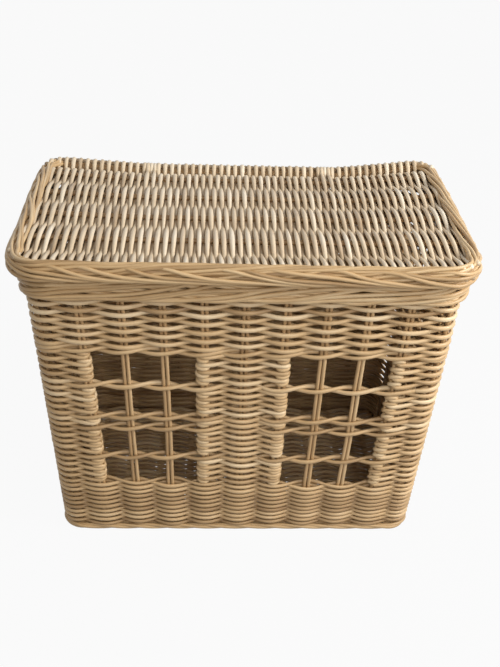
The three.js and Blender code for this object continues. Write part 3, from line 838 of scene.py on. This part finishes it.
def foot_strands():
    """Three strands twisted round the foot, and three inside that close its corner with the floor."""
    flat, outward, share = circuit(wall(FOOT_OUTLINE_HEIGHT), FOOT_INSET, FOOT_STEPS)
    piece = Piece("foot_strands")

    def lay(inset, height, radius):
        out = np.broadcast_to(FOOT_INSET - inset, FOOT_STEPS)[:, None]
        path = np.column_stack((flat + outward * out, np.broadcast_to(height, FOOT_STEPS)))
        piece.strand(path, radius, closed=True, tone=rng.normal(FOOT_TONE, FOOT_TONE_SPREAD))

    for strand in range(FOOT_STRANDS):
        turn = 2.0 * np.pi * (FOOT_TURNS * share + strand / FOOT_STRANDS)
        lay(FOOT_INSET + FOOT_TWIST * np.cos(turn), FOOT_HEIGHT + FOOT_TWIST * np.sin(turn), FOOT_STRAND)
    for inset, height, radius in FOOT_CORNER_RINGS:
        lay(inset, height, radius)
    piece.build(BORDER_RATTAN, "border", "box", "foot_rim")


def woven_floor():
    """Rows from left to right over sticks from front to back, which stand in line with the wall's stakes."""
    half_x, half_y, corner = (length - 2.0 * WALL_MIDDLE for length in wall(FLOOR_MIDDLE))
    pitch = (half_x - corner - STAKE_CORNER_GAP) / 4.0
    piece = Piece("floor_strands")

    def reach(beside, half_along, half_across):
        """Half the length of a strand, which ends at the wall or in its rounded corner."""
        past = np.maximum(np.abs(beside) - (half_across - corner), 0.0)
        return half_along - corner + np.sqrt(np.maximum(corner * corner - past * past, 0.0)) - FLOOR_GAP

    for number in range(FLOOR_ROWS):
        y = (number - (FLOOR_ROWS - 1) / 2.0) * FLOOR_ROW_PITCH
        end = reach(y, half_x, half_y)
        x = np.linspace(-end, end, FLOOR_STEPS)
        height = FLOOR_MIDDLE + FLOOR_WAVE * swing(x / pitch + number)
        path = np.column_stack((x, y + stray(x, number, FLOOR_STRAY), height))
        piece.strand(path, FLOOR_THICKNESS * reed_radius(FLOOR_STEPS))
    for number in FLOOR_STICKS:
        for side in (-1.0, 1.0):
            x = number * pitch + side * PAIR_OFFSET
            end = reach(x, half_y, half_x)
            path = [(x, y, FLOOR_MIDDLE) for y in np.linspace(-end, end, STICK_STEPS)]
            piece.strand(path, REED / 2.0, sides=6)
    piece.build(WALL_RATTAN, "wall_weave", "box", "floor_weave")


# Plaited borders


class Fold:
    """The line across a border that its plait lies on: over the top, round the edge and down the face."""

    def __init__(self, outer, inner, top, bottom, round_edge):
        self.outer = outer
        self.top = top
        self.round_edge = round_edge
        self.over = inner - outer - round_edge
        self.arc = round_edge * np.pi / 2.0
        down = top - round_edge - bottom
        self.inner_half = self.over + self.arc / 2.0
        self.outer_half = self.arc / 2.0 + down

    def at(self, place, out):
        """Inset and height at a place along the line, counted from the edge, lifted off it by a length."""
        place = place + self.inner_half
        bend = np.clip((place - self.over) / self.arc, 0.0, 1.0) * np.pi / 2.0
        before = np.minimum(place - self.over, 0.0)
        after = np.maximum(place - self.over - self.arc, 0.0)
        reach = self.round_edge + out
        inset = self.outer + self.round_edge - before - reach * np.sin(bend)
        height = self.top - self.round_edge - after + reach * np.cos(bend)
        return inset, height


def plait(outside, fold, groups, waves, layer, direction, steps, front_share=1.0):
    """The paths of a flat plait folded over the edge of a border, narrower on top along the front."""
    flat, outward, share = circuit(outside, fold.outer, steps)
    place = 2.0 * np.pi * share
    narrowed = 1.0 + (front_share - 1.0) * ease(-PLAIT_FRONT_EASE * outward[:, 1])

    def wave(fewest, most):
        """A wave of a whole number of turns round the border, drawn for one strand."""
        return np.sin(place * rng.integers(fewest, most) + rng.uniform(0.0, ANY_PHASE))

    paths = []
    for group in range(groups):
        unsteady = PLAIT_UNSTEADY * wave(5, 12)
        phase = direction * waves * place + 2.0 * np.pi * group / groups + unsteady
        across = np.arcsin(PLAIT_POINT * np.sin(phase)) / np.arcsin(PLAIT_POINT)
        half = np.where(across > 0.0, fold.outer_half, fold.inner_half * narrowed)
        lift = -layer * np.sin(2.0 * phase)
        inset, height = fold.at(across * half + PLAIT_STRAY * wave(9, 25), lift)
        paths.append(np.column_stack((flat + outward * (fold.outer - inset)[:, None], height)))
    return paths


def rim_border():
    """The plait along the top of the wall, with rows and rings inside it."""
    piece = Piece("rim_plait")
    fold = Fold(outer=5.8, inner=17.0, top=298.6, bottom=281.0, round_edge=4.0)
    for path in plait(RIM_OUTSIDE, fold, groups=18, waves=2, layer=1.7, direction=1.0, steps=340):
        piece.strand(path, reed_radius(len(path)) * RIM_THICKNESS, sides=7, closed=True)
    # The rows and rings inside the plait carry painted shade as their dark tone
    for number, z in enumerate(RIM_ROWS):
        _, distance, front, level = row(len(ROWS) + number, z)
        path = wall_path(RIM_BOTTOM, distance, front * RIM_ROW_DEPTH, level)[:-1]
        piece.strand(path, TOP_WEAVER, sides=6, closed=True, tone=HIDDEN_TONE)
    for inset, height in RIM_RINGS:
        path = level_ring(RIM_OUTSIDE, inset, height, RIM_RING_STEPS)
        piece.strand(path, TOP_WEAVER, sides=6, closed=True, tone=HIDDEN_TONE)
    piece.build(BORDER_RATTAN, "border", "box", "rim_border")


# Lid


def bow(x, y):
    """How far the lid has lifted out of flat, most at its back corners."""
    aside = np.clip((np.abs(x) - BOW_START) / BOW_LENGTH, 0.0, BOW_MOST)
    back = np.clip((y + LID_OUTSIDE[1]) / (2.0 * LID_OUTSIDE[1]), 0.0, 1.0)
    front = 1.0 - back
    lift = np.where(x > 0.0, RIGHT_LIFT, LEFT_LIFT)
    at_back = lift * aside ** BOW_POWER * back ** BOW_POWER
    return at_back + FRONT_LIFT * aside ** 2 * front - FRONT_SAG * front ** 3


def bowed(path):
    """A path on the lid once the lid has warped: lifted, wider at the back and rounder in front."""
    path = np.array(path, float)
    x, y = path[:, 0].copy(), path[:, 1]
    path[:, 2] += bow(x, y) * np.clip((path[:, 2] - UNBOWED_BELOW) / BOWED_WITHIN, 0.0, 1.0)
    wider = BACK_WIDENING * ease((y - WIDER_FROM) / WIDER_WITHIN)
    narrowing = np.where(x > 0.0, RIGHT_NARROWING, LEFT_NARROWING)
    narrower = narrowing * ease((NARROWER_FROM - y) / NARROWER_WITHIN)
    path[:, 0] = x * (1.0 + wider - narrower)
    return path


def near_loop(x):
    """Whether a place along the lid's back is where a hinge loop goes round the rod."""
    return np.abs(np.abs(x) - HINGE_X) < LOOP_ROOM


def runs(keep):
    """The unbroken stretches of a closed path that are kept, as index lists."""
    start = int(np.argmin(keep))
    order = (np.arange(len(keep)) + start) % len(keep)
    stretches = [[]]
    for index in order:
        if keep[index]:
            stretches[-1].append(index)
        elif stretches[-1]:
            stretches.append([])
    return [stretch for stretch in stretches if len(stretch) >= SHORTEST_RUN]


def tucked(path):
    """A border strand that goes in to the rod at the back corners, and which of its points are kept."""
    half_x, half_y, corner = LID_OUTSIDE
    past = np.clip((np.abs(path[:, 0]) - (half_x - corner)) / corner, 0.0, 1.0)
    tuck = ease(TUCK_START - TUCK_RATE * past) * (path[:, 1] > half_y - corner)
    rod_y = half_y - corner + np.sqrt(
        np.maximum((corner - LID_ROD_INSET) ** 2 - (past * corner) ** 2, 0.0))
    path = np.array(path)
    path[:, 1] += (rod_y - path[:, 1]) * tuck
    path[:, 2] += (LID_ROD_HEIGHT - path[:, 2]) * tuck
    return path, tuck < TUCKED_IN


def lid_border():
    """The plait round the lid, which leaves the back edge free, with rings inside and under it."""
    piece = Piece("lid_plait")
    fold = Fold(outer=3.6, inner=15.6, top=320.4, bottom=303.6, round_edge=5.0)
    paths = plait(
        LID_OUTSIDE, fold, groups=12, waves=3, layer=1.8, direction=-1.0, steps=400,
        front_share=LID_FRONT_SHARE,
    )
    for path in paths:
        path, keep = tucked(path)
        path = bowed(path)
        # Painted shade along the front of the plait
        at_front = ease((SHADED_FROM - path[:, 1]) / SHADED_WITHIN)
        tone = rng.normal(PLAIT_TONE, PLAIT_TONE_SPREAD) - PLAIT_FRONT_SHADE * at_front
        for stretch in runs(keep):
            piece.strand(path[stretch], reed_radius(len(stretch)), tone=tone[stretch])
    for inset, height in LID_BORDER_RINGS:
        path = level_ring(LID_OUTSIDE, inset, height, LID_RING_STEPS)
        at_loop = near_loop(path[:, 0]) & (path[:, 1] > 0.0)
        path = bowed(path)
        for stretch in runs(~at_loop):
            # Painted shade: the rings inside the plait take the rod's dark tone
            piece.strand(path[stretch], reed_radius(len(stretch)), tone=LID_ROD_TONE)
    piece.build(BORDER_RATTAN, "lid_border", "lid", "lid_border")


def lid_weave():
    """Weavers from front to back over the lid's stakes, turned round the rod at both ends."""
    piece = Piece("lid_strands")
    half_x, half_y, corner = LID_OUTSIDE
    spans = len(LID_STAKES) + 1
    stake = np.linspace(0.0, spans, LID_STEPS)
    depth = REED / 2.0 + WEAVER_FLATNESS * LID_WEAVER - LID_OVERLAP
    for number in range(LID_WEAVERS):
        x = (number - (LID_WEAVERS - 1) / 2.0) * LID_WEAVER_PITCH
        past = max(abs(x) - (half_x - corner), 0.0)
        edge = half_y - corner + math.sqrt((corner - LID_ROD_INSET) ** 2 - past ** 2)
        y = np.interp(stake, np.arange(spans + 1), (-edge, *LID_STAKES, edge))
        front = swing(stake + number)
        over = front[-1] > 0.0
        at_loop = near_loop(x)
        wrap = LID_WRAP_OVER if over or at_loop else LID_WRAP_UNDER
        at_front = ease((LID_STAKES[0] - y) / (LID_STAKES[0] + edge))
        at_back = ease((y - LID_STAKES[-1]) / (edge - LID_STAKES[-1]))
        height = LID_PANEL_MIDDLE + depth * front
        height += (LID_ROD_HEIGHT + LID_FRONT_WRAP * front - height) * at_front
        height += (LID_ROD_HEIGHT + wrap * front - height) * at_back
        if at_loop and not over:
            height += (LID_ROD_HEIGHT + wrap - height) * at_back
            front = np.maximum(front, 2.0 * at_back - 1.0)
        turn = np.radians(LOOP_TURNS if at_loop else OVER_TURNS if over else UNDER_TURNS)
        y = np.concatenate((y, edge + wrap * np.cos(turn)))
        height = np.concatenate((height, LID_ROD_HEIGHT + wrap * np.sin(turn)))
        front = np.concatenate((front, np.full(len(turn), front[-1])))
        fan = FAN * (x - FAN_MIDDLE) * ease((FAN_FROM - y) / FAN_WITHIN)
        path = bowed(np.column_stack((x + fan + stray(y, number, LID_STRAY), y, height)))
        radius = pressed(LID_WEAVER, front, LID_WAIST)
        piece.strand(path, radius, up=SIDEWAYS, tone=strand_tone(front), oval=WEAVER_OVAL)
    piece.build(LID_RATTAN, "lid_weave", "lid", "lid_weave")


def lid_stakes():
    x = np.linspace(-LID_STAKE_END, LID_STAKE_END, LID_STAKE_STEPS)
    height = np.full(LID_STAKE_STEPS, LID_PANEL_MIDDLE)
    for number, y in enumerate(LID_STAKES):
        node = min(
            (f"lid_stake_{k + 1}" for k in range(len(LID_STAKES))),
            key=lambda name: abs(cad_middle(name).y - y),
        )
        piece = Piece(f"{node}_reeds")
        for side in (-1.0, 1.0):
            beside = y + side * PAIR_OFFSET + LID_STAKE_WAVE * np.sin(x * LID_STAKE_RATE + number)
            path = bowed(np.column_stack((x, beside, height)))
            # Painted shade: a dark tone for the stakes under the lid's weave
            piece.strand(path, REED / 2.0, tone=LID_STAKE_TONE)
        piece.build(STAKE_RATTAN, "stake", "lid", node)


def lid_rod():
    piece = Piece("lid_frame_rod")
    path = bowed(level_ring(LID_OUTSIDE, LID_ROD_INSET, LID_ROD_HEIGHT, LID_ROD_STEPS))
    # Painted shade: a dark tone for the rod under the weavers' wraps
    piece.strand(path, LID_ROD_RADIUS, sides=10, closed=True, tone=LID_ROD_TONE)
    piece.build(STAKE_RATTAN, "stake", "lid", "lid_frame")


# Hinge loops


def arc_part(middle, radius, first, last, steps):
    turn = np.linspace(first, last, steps)
    return middle + radius * np.column_stack((np.cos(turn), np.sin(turn)))


def hinge_loops():
    """Three turns of cane, round the lid's rod and the rim, at each of the two hinges."""
    rod = np.array(HINGE_ROD)
    rim = np.array(HINGE_RIM)
    apart = np.linalg.norm(rim - rod)
    heading = math.atan2(*(rim - rod)[::-1])
    lean = math.acos((ROD_LOOP - RIM_LOOP) / apart)
    rod_part = arc_part(rod, ROD_LOOP, heading + lean, heading + 2.0 * np.pi - lean, 13)
    rim_part = arc_part(rim, RIM_LOOP, heading - lean, heading + lean, 17)
    share = np.linspace(0.0, 1.0, 5)[1:-1, None]
    down = rod_part[-1] * (1.0 - share) + rim_part[0] * share
    up = rim_part[-1] * (1.0 - share) + rod_part[0] * share
    loop = np.concatenate((rod_part, down, rim_part, up))
    for side, x in (("left", -HINGE_X), ("right", HINGE_X)):
        piece = Piece(f"hinge_loop_{side}_cane")
        for turn in (-1, 0, 1):
            path = np.column_stack((np.full(len(loop), x + turn * REED), loop))
            piece.strand(path, CANE_RADIUS, up=SIDEWAYS, closed=True, oval=CANE_OVAL)
        piece.build(CANE, "cane", "box", f"hinge_loop_{side}")


# Studio


def background_rays(nodes, links):
    """1 where a ray shows the background itself: to the camera, in a gloss or through glass."""
    rays = nodes.new("ShaderNodeLightPath")
    seen = rays.outputs["Is Camera Ray"]
    for ray in ("Is Glossy Ray", "Is Transmission Ray"):
        either = nodes.new("ShaderNodeMath")
        either.operation = "MAXIMUM"
        links.new(seen, either.inputs[0])
        links.new(rays.outputs[ray], either.inputs[1])
        seen = either.outputs["Value"]
    return seen


def white_paper():
    """The floor: nearly white to the camera, with faint shadows, and plain grey paper to the rattan."""
    material = bpy.data.materials.new("floor")
    material.use_nodes = True
    nodes = material.node_tree.nodes
    links = material.node_tree.links
    paper = nodes["Principled BSDF"]
    paper.inputs["Base Color"].default_value = (PAPER_TONE, PAPER_TONE, PAPER_TONE, 1.0)
    paper.inputs["Roughness"].default_value = 0.9
    paper.inputs["Specular IOR Level"].default_value = 0.1
    white = nodes.new("ShaderNodeEmission")
    white.inputs["Color"].default_value = WHITE
    white.inputs["Strength"].default_value = 1.0
    share = nodes.new("ShaderNodeMath")
    share.operation = "MULTIPLY"
    share.inputs[1].default_value = PAPER_WHITENESS
    links.new(background_rays(nodes, links), share.inputs[0])
    mixed = nodes.new("ShaderNodeMixShader")
    links.new(share.outputs["Value"], mixed.inputs["Fac"])
    links.new(paper.outputs["BSDF"], mixed.inputs[1])
    links.new(white.outputs["Emission"], mixed.inputs[2])
    links.new(mixed.outputs["Shader"], nodes["Material Output"].inputs["Surface"])
    return material


def soft_light(name, place, target, size, power):
    data = bpy.data.lights.new(name, "AREA")
    data.shape = "DISK"
    data.size = size
    data.energy = power
    light = bpy.data.objects.new(name, data)
    light.location = place
    bpy.context.scene.collection.objects.link(light)
    direction = Vector(target) - light.location
    light.rotation_euler = direction.to_track_quat("-Z", "Y").to_euler()


def studio():
    mesh = bpy.data.meshes.new("floor")
    half = PAPER_HALF
    corners = [(-half, -half, 0), (half, -half, 0), (half, half, 0), (-half, half, 0)]
    mesh.from_pydata(corners, [], [(0, 1, 2, 3)])
    mesh.materials.append(white_paper())
    floor = bpy.data.objects.new("floor", mesh)
    bpy.context.scene.collection.objects.link(floor)

    world = bpy.data.worlds.new("studio")
    world.use_nodes = True
    nodes = world.node_tree.nodes
    links = world.node_tree.links
    background = nodes["Background"]
    background.inputs["Color"].default_value = WHITE
    strength = nodes.new("ShaderNodeMapRange")
    strength.inputs["To Min"].default_value = WORLD_LIGHT
    strength.inputs["To Max"].default_value = 1.0
    links.new(background_rays(nodes, links), strength.inputs["Value"])
    links.new(strength.outputs["Result"], background.inputs["Strength"])
    bpy.context.scene.world = world

    soft_light("key", place=(1.15, -0.4, 0.95), target=(0.0, 0.0, 0.25), size=0.5, power=18.5)
    soft_light("fill", place=(0.45, -1.35, 0.8), target=(0.0, 0.0, 0.22), size=1.2, power=9.5)


def camera():
    data = bpy.data.cameras.new("camera")
    data.sensor_width = 36.0
    data.lens = 48.42
    data.clip_start = 0.01
    thing = bpy.data.objects.new("camera", data)
    thing.location = (-0.0398, -0.8526, 0.6487)
    facing = Matrix.Rotation(math.radians(-3.44), 3, "Z")
    lean = Matrix.Rotation(math.radians(61.19), 3, "X")
    tilt = Matrix.Rotation(math.radians(2.42), 3, "Z")
    thing.rotation_euler = (facing @ lean @ tilt).to_euler()
    bpy.context.scene.collection.objects.link(thing)
    bpy.context.scene.camera = thing


camera()
studio()
bpy.context.scene.view_settings.view_transform = "Standard"
woven_wall()
wall_stakes()
foot_strands()
woven_floor()
rim_border()
lid_weave()
lid_stakes()
lid_rod()
lid_border()
hinge_loops()
